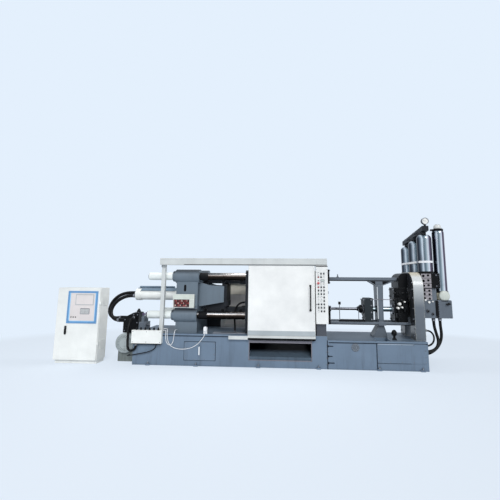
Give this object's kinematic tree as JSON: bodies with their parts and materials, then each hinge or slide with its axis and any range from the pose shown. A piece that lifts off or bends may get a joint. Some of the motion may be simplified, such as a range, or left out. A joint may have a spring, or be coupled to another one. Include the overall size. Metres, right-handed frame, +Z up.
{
  "type": "die casting machine",
  "caption": "Horizontal cold chamber die casting machine with sliding guard door, toggle clamp, shot end, accumulators and separate control cabinet.",
  "frame": {"origin": "on the floor under the middle of the machine bed, on the flat face that the bed rests on", "axes": "+X from the clamp end to the injection end, -Y towards the operator's side, +Z up"},
  "size_m": [8.54, 1.907, 3.199],
  "materials": {
    "bed_paint": "satin slate blue-grey machine paint",
    "beige_paint": "beige paint",
    "black_plastic": "black plastic",
    "bottle_steel": "polished steel",
    "cabinet_paint": "cream-white powder coat",
    "casting_paint": "satin dark grey casting paint",
    "chrome_bar": "hard chromed and ground",
    "dark_steel": "blackened steel",
    "door_paint": "white powder coat",
    "frame_steel": "dark grey painted steel",
    "ground_steel": "ground steel",
    "guard_paint": "light grey-cream powder coat",
    "hose_rubber": "black hose cover",
    "motor_paint": "grey-green motor paint",
    "screen_blue": "blue screen surround",
    "strap_white": "white strap",
    "white_cable": "white cable sheath"
  },
  "bodies": {
    "machine": {"access_panels": "bed_paint", "accumulator_base": "dark_steel", "accumulator_header": "frame_steel", "accumulator_strap": "strap_white", "accumulators": "bottle_steel", "black_cable": "hose_rubber", "button_panel": "door_paint", "cabinet_case": "cabinet_paint", "clamp_bed": "bed_paint", "clamp_cylinder": "cabinet_paint", "clamp_rod": "chrome_bar", "clamp_valve_block": "frame_steel", "crosshead": "dark_steel", "door_guide": "guard_paint", "down_hose": "hose_rubber", "drain_hose": "hose_rubber", "drop_chute": "bed_paint", "end_frame": "frame_steel", "end_hose_1": "hose_rubber", "end_hose_2": "hose_rubber", "end_manifold": "frame_steel", "end_valve_block": "ground_steel", "fixed_platen": "casting_paint", "guard_posts": "guard_paint", "injection_bed": "bed_paint", "injection_frame": "frame_steel", "junction_box": "cabinet_paint", "limit_switch": "white_cable", "main_hose": "hose_rubber", "main_hose_2": "hose_rubber", "manifold_disc": "beige_paint", "motor_cradle": "dark_steel", "moving_platen": "casting_paint", "platen_hose": "hose_rubber", "platen_ways": "ground_steel", "pump_block": "dark_steel", "pump_motor": "motor_paint", "push_buttons": "black_plastic", "rear_guard": "guard_paint", "shot_cylinder": "dark_steel", "shot_guide_head": "frame_steel", "shot_sleeve": "ground_steel", "side_accumulator": "bottle_steel", "tail_platen": "casting_paint", "terminal_box": "cabinet_paint", "tie_bar_nuts": "casting_paint", "tie_bars": "chrome_bar", "toggle_links": "casting_paint", "toggle_pins": "ground_steel", "top_rail": "guard_paint", "white_cable_1": "white_cable", "white_cable_2": "white_cable"},
    "front_door": {"front_door": "door_paint", "door_handle": "black_plastic"},
    "cabinet_door": {"cabinet_door": "cabinet_paint", "cabinet_screen": "screen_blue", "cabinet_handle": "black_plastic"},
    "shot_plunger": {"plunger_rod": "ground_steel", "plunger_coupling": "dark_steel", "shot_rod": "chrome_bar"}
  },
  "joints": [
    {"name": "front_door_slide", "type": "slide", "parent": "machine", "child": "front_door", "axis": [-1, 0, 0], "range_m": [0, 1.4]},
    {"name": "cabinet_door_hinge", "type": "hinge", "parent": "machine", "child": "cabinet_door", "pos_m": [-3.807, -0.677, 0.8], "axis": [0, 0, 1], "range_deg": [0, 110]},
    {"name": "shot_slide", "type": "slide", "parent": "machine", "child": "shot_plunger", "axis": [-1, 0, 0], "range_m": [0, 0.5]}
  ]
}
